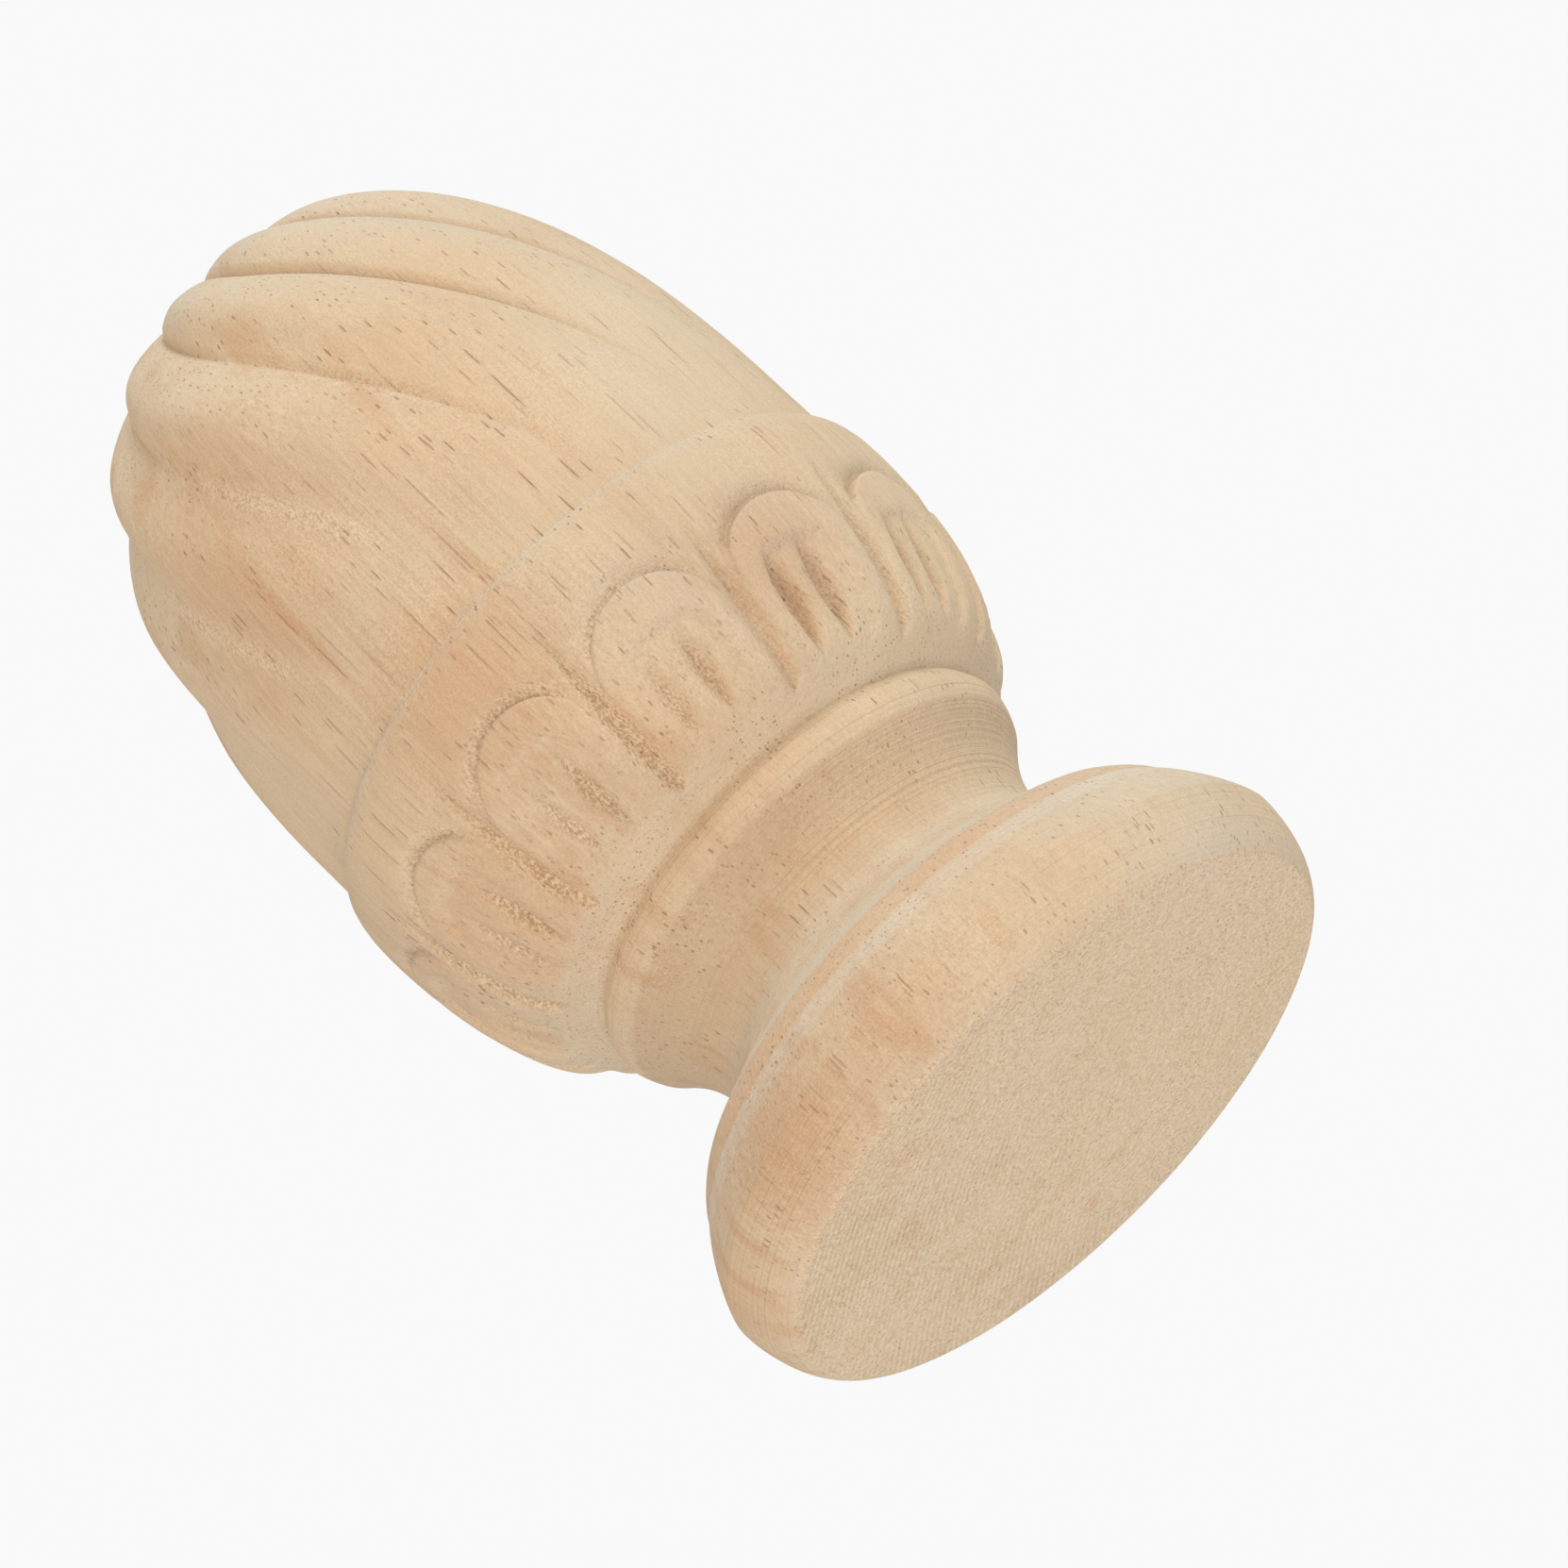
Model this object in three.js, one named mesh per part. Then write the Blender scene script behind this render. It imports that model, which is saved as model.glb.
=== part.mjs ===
// A turned and carved wooden finial: a bun foot, a hollow neck with a collar, a cup of upright leaves
// and, above it, a bud of twisted lobes. It is one piece of wood.
// Millimetres and degrees, Z up. The origin is the centre of the flat underside and the front is -Y.
import * as THREE from "three";

// Overall sizes
const overallHeight = 140;
const footDiameter = 80;

// Foot: a bun with a flat underside
const undersideDiameter = 73.3;
const footLowHeight = 8.1;
const footTopHeight = 7.7;
const footTopDiameter = 71.6;
const footLowRoundness = 1.15;
const footTopRoundness = 1.68;

// Band: the steep step above the foot, with a sharp edge round its top
const bandHeight = 3.2;
const bandTopDiameter = 66.8;
const bandBulgeDepth = 0.3;

// Neck: it hollows in from the band's edge and sweeps out slowly to the collar
const neckDiameter = 46;
const neckLowHeight = 8.25;
const neckTopHeight = 10.25;
const neckLowSweep = 1.6;
const neckTopSweep = 2;

// Collar, and the groove between it and the cup
const collarDiameter = 55.5;
const collarHeight = 5.35;
const collarBulgeDepth = 0.9;
const grooveDiameter = 54.9;

// Cup
const cupFootDiameter = 60.4;
const cupFootHeight = 1.4;
const cupLowHeight = 25.25;
const cupDiameter = 77.2;
const cupEdgeHeight = 4.8;
const cupTopDiameter = 74.4;

// Bud: its widest place is where it stands in the cup
const budDiameter = 73.8;
const budRoundness = 0.75;

// Leaves: how many, where the first one is, and their outline as shares of the cup's height
// and of half the pitch from leaf to leaf
const leafCount = 12;
const firstLeafAngle = 11;
const leafShoulderShare = 0.432;
const leafTopShare = 0.66;
const leafWidthShare = 0.833;

// The cut round a leaf's top: steep at the leaf, sloping out to the cup, and dying out at the shoulders
const leafCutDepth = 1.4;
const leafCutSlopeWidth = 2.1;
const leafCutWallWidth = 0.4;
const leafCutFadeShare = 0.8;

// The pointed groove between two leaves: it is still open where it ends, bluntly, above the cup's foot
const partingDepth = 1.9;
const partingWidthShare = 0.19;
const partingLowShare = -0.2;
const partingTopShare = 0.775;
const partingWidestShare = 0.485;
const partingEndHeight = 1;

// The hollow inside a leaf and the two pointed veins cut in it
const hollowDepth = 0.65;
const hollowWidthShare = 0.6;
const hollowLowShare = 0.02;
const hollowTopShare = 0.49;
const hollowEdgeShare = 0.4;
const veinDepth = 1.55;
const veinPlaceShare = 0.26;
const veinWidthShare = 0.17;
const veinLowShare = 0.08;
const veinTopShare = 0.46;
const veinWidestShare = 0.45;

// Lobes: one above each leaf, twisted to the left on the way up
const firstValleyAngle = 27.2;
const valleyLeanAngle = 27.6;
const valleyCurlAngle = 31.7;
const lobeLowDepth = 0.4;
const lobeTopDepth = 3.7;
const lobeGrowth = 1.5;
const lobeTipSteepness = 0.12;
const lobeRoundness = 1.65;
const lobeFadeHeight = 4;

// Mesh steps: along each stretch of the outline, and round the turned and the lobed rings
const turnedColumnsPerLeaf = 5;
const lobeColumns = 8;
const footLowSteps = 5;
const footTopSteps = 4;
const bandSteps = 2;
const neckLowSteps = 5;
const neckTopSteps = 4;
const collarSteps = 4;
const leafSteps = 9;
const cupTopSteps = 4;
const budSteps = 15;

// Heights that follow from the sizes above
const footWidestZ = footLowHeight;
const footTopZ = footWidestZ + footTopHeight;
const bandTopZ = footTopZ + bandHeight;
const neckZ = bandTopZ + neckLowHeight;
const collarZ = neckZ + neckTopHeight;
const grooveZ = collarZ + collarHeight;
const cupFootZ = grooveZ + cupFootHeight;
const cupWidestZ = cupFootZ + cupLowHeight;
const seamZ = cupWidestZ + cupEdgeHeight;
const cupHeight = seamZ - grooveZ;
const budHeight = overallHeight - seamZ;
const leafPitch = 360 / leafCount;
const halfPitch = leafPitch / 2;

const { clamp, degToRad, lerp, smoothstep } = THREE.MathUtils;

// A point of the outline: its distance from the axis and its height.
const at = (diameter, z) => ({ radius: diameter / 2, z });
const underside = at(undersideDiameter, 0);
const footWidest = at(footDiameter, footWidestZ);
const footTop = at(footTopDiameter, footTopZ);
const bandTop = at(bandTopDiameter, bandTopZ);
const neck = at(neckDiameter, neckZ);
const collar = at(collarDiameter, collarZ);
const groove = at(grooveDiameter, grooveZ);
const cupFoot = at(cupFootDiameter, cupFootZ);
const cupWidest = at(cupDiameter, cupWidestZ);
const cupTop = at(cupTopDiameter, seamZ);
const budFoot = at(budDiameter, seamZ);
const tip = at(0, overallHeight);

// The curves of the outline. Each takes a share of the way from one point to another.
const between = (a, b, radiusShare, heightShare) => ({
  radius: lerp(a.radius, b.radius, radiusShare),
  z: lerp(a.z, b.z, heightShare),
});
const eased = (share, power) => Math.sin((share * Math.PI) / 2) ** power;
const swellOut = (a, b, power) => (share) =>
  between(a, b, eased(share, power), 1 - eased(1 - share, power));
const turnIn = (a, b, power) => (share) =>
  between(a, b, 1 - eased(1 - share, power), eased(share, power));
const sweep = (a, b, power) => (share) => between(a, b, share ** power, share);
const bead = (a, b, bulge) => (share) => {
  const point = between(a, b, share, share);
  point.radius += bulge * Math.sin(share * Math.PI);
  return point;
};
const reversed = (curve) => (share) => curve(1 - share);

// The points of a curve, without its first one, which belongs to the curve before.
function sample(curve, steps) {
  return Array.from({ length: steps }, (_, i) => curve((i + 1) / steps));
}

// The outline of the plain turned part, from the underside up to the cup's foot.
const turnedOutline = [
  underside,
  ...sample(swellOut(underside, footWidest, footLowRoundness), footLowSteps),
  ...sample(turnIn(footWidest, footTop, footTopRoundness), footTopSteps),
  ...sample(bead(footTop, bandTop, bandBulgeDepth), bandSteps),
  ...sample(reversed(sweep(neck, bandTop, neckLowSweep)), neckLowSteps),
  ...sample(sweep(neck, collar, neckTopSweep), neckTopSteps),
  ...sample(bead(collar, groove, collarBulgeDepth), collarSteps),
];

// The cup's radius at a height: it swells to its widest place and turns in to its edge.
function cupRadius(z) {
  if (z < cupFootZ) {
    return lerp(groove.radius, cupFoot.radius, (z - grooveZ) / cupFootHeight);
  }
  const [end, height] = z < cupWidestZ ? [cupFoot, cupLowHeight] : [cupTop, cupEdgeHeight];
  const away = clamp(Math.abs(z - cupWidestZ) / height, 0, 1);
  return lerp(end.radius, cupWidest.radius, Math.sqrt(1 - away * away));
}

// How far along a pointed, leaf-like cut a height is: 0 at both ends and 1 where it is widest.
function lens(z, low, top, widest) {
  const share = clamp((z - low) / (top - low), 0, 1);
  return Math.sin(Math.PI * share ** (Math.log(0.5) / Math.log(widest)));
}

const cupShare = (share) => grooveZ + share * cupHeight;
const shoulderZ = cupShare(leafShoulderShare);
const leafRise = cupShare(leafTopShare) - shoulderZ;
const leafHalfAngle = leafWidthShare * halfPitch;
const leafHalfWidth = degToRad(leafHalfAngle) * cupWidest.radius;

// The height of a leaf's upper edge, at an angle from its middle.
function leafEdgeZ(angle) {
  const share = clamp(angle / leafHalfAngle, -1, 1);
  return shoulderZ + leafRise * Math.sqrt(1 - share * share);
}

// The distance outwards from a leaf's elliptical upper edge, measured on the surface.
function beyondLeafEdge(angle, z) {
  const across = (degToRad(angle) * cupWidest.radius) / leafHalfWidth;
  const up = Math.max(z - shoulderZ, 0) / leafRise;
  const size = Math.hypot(across, up);
  const slope = Math.hypot(across / leafHalfWidth, up / leafRise);
  return size > 0 ? ((size - 1) * size) / slope : -leafHalfWidth;
}

// The depth of the cut round a leaf's top.
function leafCut(angle, z) {
  const beyond = beyondLeafEdge(angle, z);
  const reach = beyond > 0 ? leafCutSlopeWidth : leafCutWallWidth;
  const above = smoothstep(z, shoulderZ, shoulderZ + leafCutFadeShare * leafRise);
  return above * leafCutDepth * Math.max(1 - Math.abs(beyond) / reach, 0);
}

// The depth of a V cut of one width, at an angle from its middle.
function veeCut(depth, open, angle, halfAngle) {
  return Math.max(depth * (open - Math.abs(angle) / halfAngle), 0);
}

function parting(angle, z) {
  const top = cupShare(partingTopShare);
  const open = lens(z, cupShare(partingLowShare), top, partingWidestShare);
  const depth = partingDepth * smoothstep(z, cupFootZ, cupFootZ + partingEndHeight);
  return veeCut(depth, open, halfPitch - Math.abs(angle), partingWidthShare * halfPitch);
}

function hollow(angle, z) {
  const low = cupShare(hollowLowShare);
  const top = cupShare(hollowTopShare);
  const middle = (low + top) / 2;
  const up = (z - middle) / (top - middle);
  const across = angle / (hollowWidthShare * halfPitch);
  const inside = 1 - Math.hypot(across * across, up * up);
  return hollowDepth * smoothstep(inside, 0, hollowEdgeShare);
}

function vein(angle, z) {
  const open = lens(z, cupShare(veinLowShare), cupShare(veinTopShare), veinWidestShare);
  const away = Math.abs(angle) - veinPlaceShare * halfPitch;
  return veeCut(veinDepth, open, away, veinWidthShare * halfPitch);
}

// The depth of everything carved in the cup, at an angle from a leaf's middle.
function cupCarving(angle, z) {
  return Math.max(parting(angle, z), leafCut(angle, z), hollow(angle, z) + vein(angle, z));
}

// The angle of the first valley between two lobes, which leans more the higher it is.
function valleyAngle(z) {
  const up = (z - seamZ) / budHeight;
  return firstValleyAngle - valleyLeanAngle * up - valleyCurlAngle * up * up;
}

// The depth below the bud's outline, at a share of the way from a lobe's crest to its valley.
function lobeCarving(share, radius, z) {
  const up = (z - seamZ) / budHeight;
  const depth = lobeLowDepth + (lobeTopDepth - lobeLowDepth) * up ** lobeGrowth;
  const fade = smoothstep(z, seamZ, seamZ + lobeFadeHeight);
  return fade * Math.min(depth, lobeTipSteepness * radius) * share ** lobeRoundness;
}

// A ring is a list of points, counterclockwise from above. Angles run from the front to the right.
const pointAt = (angle, radius, z) =>
  new THREE.Vector3(radius * Math.sin(degToRad(angle)), -radius * Math.cos(degToRad(angle)), z);

const turnedColumns = leafCount * turnedColumnsPerLeaf;
const turnedRings = turnedOutline.map(({ radius, z }) =>
  Array.from({ length: turnedColumns }, (_, i) =>
    pointAt((i * 360) / turnedColumns, radius, z),
  ),
);

// A leaf's columns: its parting, that one's edge, the hollow's edge, the vein's edge, the vein and the rib.
const leafSide = [
  halfPitch,
  halfPitch * (1 - partingWidthShare),
  halfPitch * hollowWidthShare,
  halfPitch * (veinPlaceShare + veinWidthShare),
  halfPitch * veinPlaceShare,
];
const leafColumns = [...leafSide.map((angle) => -angle), 0, ...leafSide.slice(1).reverse()];

// A ring round the cup, whose height at each column is given by a rule of the angle in the leaf.
function cupRing(heightAt) {
  const ring = [];
  for (let leaf = 0; leaf < leafCount; leaf += 1) {
    for (const angle of leafColumns) {
      const z = heightAt(angle);
      const radius = cupRadius(z) - cupCarving(angle, z);
      ring.push(pointAt(firstLeafAngle + leaf * leafPitch + angle, radius, z));
    }
  }
  return ring;
}

// The cup's rings bend over the leaves, so that their lines lie along the cut round each leaf's top.
const steps = (count) => Array.from({ length: count }, (_, i) => i / count);
const cupRings = [
  ...steps(leafSteps).map((share) =>
    cupRing((angle) => lerp(cupFootZ, leafEdgeZ(angle) - leafCutWallWidth, share)),
  ),
  cupRing((angle) => leafEdgeZ(angle) - leafCutWallWidth),
  cupRing(leafEdgeZ),
  ...steps(cupTopSteps).map((share) =>
    cupRing((angle) => lerp(leafEdgeZ(angle) + leafCutSlopeWidth, seamZ, eased(share, 1))),
  ),
  cupRing(() => seamZ),
];

// The bud's rings turn with the valleys, so that one column lies in each valley.
const budRings = [budFoot, ...sample(turnIn(budFoot, tip, budRoundness), budSteps)]
  .slice(0, -1)
  .map(({ radius, z }) =>
    Array.from({ length: leafCount * lobeColumns }, (_, i) => {
      const share = Math.abs(((2 * i) / lobeColumns) % 2 - 1);
      const angle = valleyAngle(z) + (i * leafPitch) / lobeColumns;
      return pointAt(angle, radius - lobeCarving(share, radius, z), z);
    }),
  );

// Closes the strip between two rings of as many points, cutting each quad along its shorter diagonal.
function closeQuads(low, high) {
  return low.flatMap((a, i) => {
    const next = (i + 1) % low.length;
    const [b, c, d] = [low[next], high[next], high[i]];
    return a.distanceTo(c) < b.distanceTo(d) ? [a, b, c, a, c, d] : [a, b, d, b, c, d];
  });
}

// How far round the axis a point lies from a starting point, as a share of a full turn.
function turnFrom(start, point) {
  const angle = Math.atan2(point.x, -point.y) - Math.atan2(start.x, -start.y);
  return THREE.MathUtils.euclideanModulo(angle / (2 * Math.PI), 1);
}

// Closes the strip between two rings whose numbers of points differ, taking the points in turn.
function closeUneven(low, ring) {
  const turnOf = (point) => turnFrom(low[0], point);
  const high = [...ring].sort((p, q) => turnOf(p) - turnOf(q));
  const lowTurns = [...low.map(turnOf), 1];
  const highTurns = [...high.map(turnOf), 1];
  const triangles = [];
  let a = 0;
  let b = 0;
  while (a < low.length || b < high.length) {
    const nextLow = low[(a + 1) % low.length];
    const nextHigh = high[(b + 1) % high.length];
    if (b === high.length || (a < low.length && lowTurns[a + 1] <= highTurns[b + 1])) {
      triangles.push(low[a % low.length], nextLow, high[b % high.length]);
      a += 1;
    } else {
      triangles.push(low[a % low.length], nextHigh, high[b % high.length]);
      b += 1;
    }
  }
  return triangles;
}

const closeStrip = (low, high) =>
  low.length === high.length ? closeQuads(low, high) : closeUneven(low, high);

// Closes a ring with a fan to one point.
function fan(ring, middle) {
  return ring.flatMap((point, i) => [point, ring[(i + 1) % ring.length], middle]);
}

const rings = [...turnedRings, ...cupRings, ...budRings];
const underCentre = new THREE.Vector3(0, 0, 0);
const tipPoint = new THREE.Vector3(0, 0, overallHeight);
const corners = [
  ...fan([...rings[0]].reverse(), underCentre),
  ...rings.slice(1).flatMap((ring, i) => closeStrip(rings[i], ring)),
  ...fan(rings.at(-1), tipPoint),
];

const paleWood = new THREE.MeshStandardMaterial({ color: 0xe0bf94, roughness: 0.75, metalness: 0 });
const geometry = new THREE.BufferGeometry().setFromPoints(corners);
geometry.computeVertexNormals();
const finial = new THREE.Mesh(geometry, paleWood);
finial.name = "finial";

const part = new THREE.Group();
part.add(finial);
export default part;
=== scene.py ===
import math

import bpy
from mathutils import Matrix, Vector


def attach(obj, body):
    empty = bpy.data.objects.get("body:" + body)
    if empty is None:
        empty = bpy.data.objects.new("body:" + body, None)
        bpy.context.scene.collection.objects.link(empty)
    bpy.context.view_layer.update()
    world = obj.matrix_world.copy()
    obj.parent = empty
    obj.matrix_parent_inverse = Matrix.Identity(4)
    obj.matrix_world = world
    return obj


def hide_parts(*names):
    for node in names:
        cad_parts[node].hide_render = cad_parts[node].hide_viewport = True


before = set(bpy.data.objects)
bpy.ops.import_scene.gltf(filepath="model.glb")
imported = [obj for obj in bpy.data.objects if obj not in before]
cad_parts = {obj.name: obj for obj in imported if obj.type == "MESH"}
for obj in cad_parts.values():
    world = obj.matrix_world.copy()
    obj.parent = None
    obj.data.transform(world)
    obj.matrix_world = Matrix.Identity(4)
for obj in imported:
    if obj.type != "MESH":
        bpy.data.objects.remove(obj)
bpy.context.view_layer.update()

scene = bpy.context.scene
millimetre = 0.001


def linear(red, green, blue):
    # a colour as seen on screen, from 0 to 255, as the light values that the nodes work with
    def one(value):
        share = value / 255
        return share / 12.92 if share <= 0.04045 else ((share + 0.055) / 1.055) ** 2.4
    return (one(red), one(green), one(blue), 1.0)


class Wire:
    # a socket in a node tree; sums with it add Math nodes to that tree
    def __init__(self, bench, socket):
        self.bench, self.socket = bench, socket

    def maths(self, operation, *others):
        return self.bench.maths(operation, self, *others)

    def other(self, name):
        # another output of the same node
        return Wire(self.bench, self.socket.node.outputs[name])

    def __add__(self, other): return self.maths("ADD", other)
    def __radd__(self, other): return self.bench.maths("ADD", other, self)
    def __sub__(self, other): return self.maths("SUBTRACT", other)
    def __rsub__(self, other): return self.bench.maths("SUBTRACT", other, self)
    def __mul__(self, other): return self.maths("MULTIPLY", other)
    def __rmul__(self, other): return self.bench.maths("MULTIPLY", other, self)
    def __truediv__(self, other): return self.maths("DIVIDE", other)
    def __rtruediv__(self, other): return self.bench.maths("DIVIDE", other, self)
    def __pow__(self, other): return self.maths("POWER", other)
    def __neg__(self): return self.maths("MULTIPLY", -1)
    def __abs__(self): return self.maths("ABSOLUTE")
    def __gt__(self, other): return self.maths("GREATER_THAN", other)
    def __lt__(self, other): return self.maths("LESS_THAN", other)


class Bench:
    # a node tree under construction
    def __init__(self, tree):
        self.tree = tree

    def node(self, kind, settings=None, sockets=None, out=0):
        made = self.tree.nodes.new(kind)
        for name, value in (settings or {}).items():
            setattr(made, name, value)
        for key, value in (sockets or {}).items():
            if isinstance(value, Wire):
                self.tree.links.new(value.socket, made.inputs[key])
            else:
                made.inputs[key].default_value = value
        return Wire(self, made.outputs[out]) if len(made.outputs) else None

    def maths(self, operation, *values):
        return self.node("ShaderNodeMath", {"operation": operation}, dict(enumerate(values)))


def emptied(owner):
    # the bench of a material or a world, with its first nodes taken out
    owner.use_nodes = True
    owner.node_tree.nodes.clear()
    return Bench(owner.node_tree)


def ramp(value, low, high, kind="LINEAR"):
    # 0 up to low and 1 from high on
    return value.bench.node("ShaderNodeMapRange", {"interpolation_type": kind}, {0: value, 1: low, 2: high})


def smooth(value, low, high):
    return ramp(value, low, high, "SMOOTHSTEP")


def mixed(low, high, share):
    return low + (high - low) * share


def most(first, second):
    return first.maths("MAXIMUM", second)


def least(first, second):
    return first.maths("MINIMUM", second)


def sine(turns):
    # of an angle in half turns
    return (turns * math.pi).maths("SINE")


def root(value):
    return most(value, 0.0).maths("SQRT")


def hypot(first, second):
    return root(first * first + second * second)


# What the finial measures. These are the inputs of its node tree.
finial = {
    "overallHeight": 140.0, "footDiameter": 80.0,
    "undersideDiameter": 73.3, "footLowHeight": 8.1, "footTopHeight": 7.7, "footTopDiameter": 71.6,
    "footLowRoundness": 1.15, "footTopRoundness": 1.68,
    "bandHeight": 3.2, "bandTopDiameter": 66.8, "bandBulgeDepth": 0.3,
    "neckDiameter": 46.0, "neckLowHeight": 8.25, "neckTopHeight": 10.25,
    "neckLowSweep": 1.6, "neckTopSweep": 2.0,
    "collarDiameter": 55.5, "collarHeight": 5.35, "collarBulgeDepth": 0.9, "grooveDiameter": 54.9,
    "cupFootDiameter": 60.4, "cupFootHeight": 1.4, "cupLowHeight": 25.25, "cupDiameter": 77.2,
    "cupEdgeHeight": 4.8, "cupTopDiameter": 74.4,
    "budDiameter": 73.8, "budRoundness": 0.75,
    "leafCount": 12.0, "firstLeafAngle": 11.0, "leafShoulderShare": 0.432, "leafTopShare": 0.66,
    "leafWidthShare": 0.833, "leafCutDepth": 1.4, "leafCutSlopeWidth": 2.1, "leafCutWallWidth": 0.4,
    "leafCutFadeShare": 0.8,
    "partingDepth": 1.9, "partingWidthShare": 0.19, "partingLowShare": -0.2,
    "partingTopShare": 0.775, "partingWidestShare": 0.485, "partingEndHeight": 1.0,
    "hollowDepth": 0.65, "hollowWidthShare": 0.6, "hollowLowShare": 0.02,
    "hollowTopShare": 0.49, "hollowEdgeShare": 0.4,
    "veinDepth": 1.55, "veinPlaceShare": 0.26, "veinWidthShare": 0.17,
    "veinLowShare": 0.08, "veinTopShare": 0.46, "veinWidestShare": 0.45,
    "firstValleyAngle": 27.2, "valleyLeanAngle": 27.6, "valleyCurlAngle": 31.7,
    "lobeLowDepth": 0.4, "lobeTopDepth": 3.7, "lobeGrowth": 1.5, "lobeTipSteepness": 0.12,
    "lobeRoundness": 1.65, "lobeFadeHeight": 4.0,
    # handwork that only shows from close by
    "creaseDepth": 0.6, "creaseLeftWidth": 0.6, "creaseRightWidth": 1.5, "creaseFadeHeight": 34.0,
    "sharpTipShare": 0.8, "softValleyRoundness": 2.0,
    "leafLeanAngle": 2.4, "leanMiddleShare": 0.35, "riseSpreadShare": 0.35,
    "veinDriftAngle": 2.0, "veinShiftAngle": 1.1, "leftVeinShare": 0.65,
    "deepVeinShare": 1.3, "deepVeinRise": 0.05, "deepVeinWidening": 1.2,
    "leftCutShare": 0.75, "leftHollowRise": 0.07, "hollowSideShare": 0.25,
    "handWobble": 0.16, "wobbleLength": 9.0, "handSpread": 0.1,
    # how strongly torn wood is marked in each kind of cut, and how strongly it is darkened there: bared end
    # grain together with painted shade in the cut
    "leafCutTornShare": 0.9, "valleyTornShare": 0.7,
    "archSideShare": 0.5, "partingCutShare": 0.4, "creaseCutShare": 0.7, "creaseCutWidthShare": 0.9,
}
# how many rings each stretch of it has, from the underside to the tip
finialRings = {
    "underside": 3, "footLow": 14, "footTop": 12, "band": 9, "neckLow": 14, "neckTop": 10,
    "collar": 9, "cupFoot": 2, "leaf": 38, "leafWall": 2, "leafSlope": 4, "cupTop": 9,
    "seam": 1, "bud": 66,
}
finialMesh = {
    "columnsPerLeaf": 42, "mergeDistance": 2e-6, "smallest": 1e-6, "leafSeed": 7, "valleySeed": 0.37,
    "edgeCrowding": 0.75, "tipCrowding": 0.85, "valleyCrowding": 0.65,
    "wobbleDetail": 1.0, "wobbleRoughness": 0.4,
}
# the ranges in which a rule comes in, from nothing to full
finialRanges = {
    "deepSide": (0.05, 0.6), "leftSide": (0.1, 0.5), "vee": (-0.1, 1.05), "leanEnd": (0.75, 1.0),
    "sharpSide": (-0.3, 0.3), "sharpTip": (38.0, 56.0), "wobble": (1.0, 6.0),
    "partingTorn": (0.1, 0.9), "veinTorn": (0.1, 0.8), "leafCutTorn": (0.1, 0.8),
    "valleyTorn": (0.7, 1.0), "tornStart": (8.0, 18.0), "tornEnd": (30.0, 50.0),
    "archCut": (0.5, 1.3), "archSide": (-0.6, 0.6), "veinCut": (0.2, 1.2), "partingCut": (0.4, 1.5),
    "creaseCut": (8.0, 30.0),
}


def eased(share, power):
    return sine(share * 0.5) ** power


def crowded(share, crowding):
    # moves rings or columns towards both ends of their stretch, where its sharp edges are
    return share - crowding / (2 * math.pi) * sine(share * 2)


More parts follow.
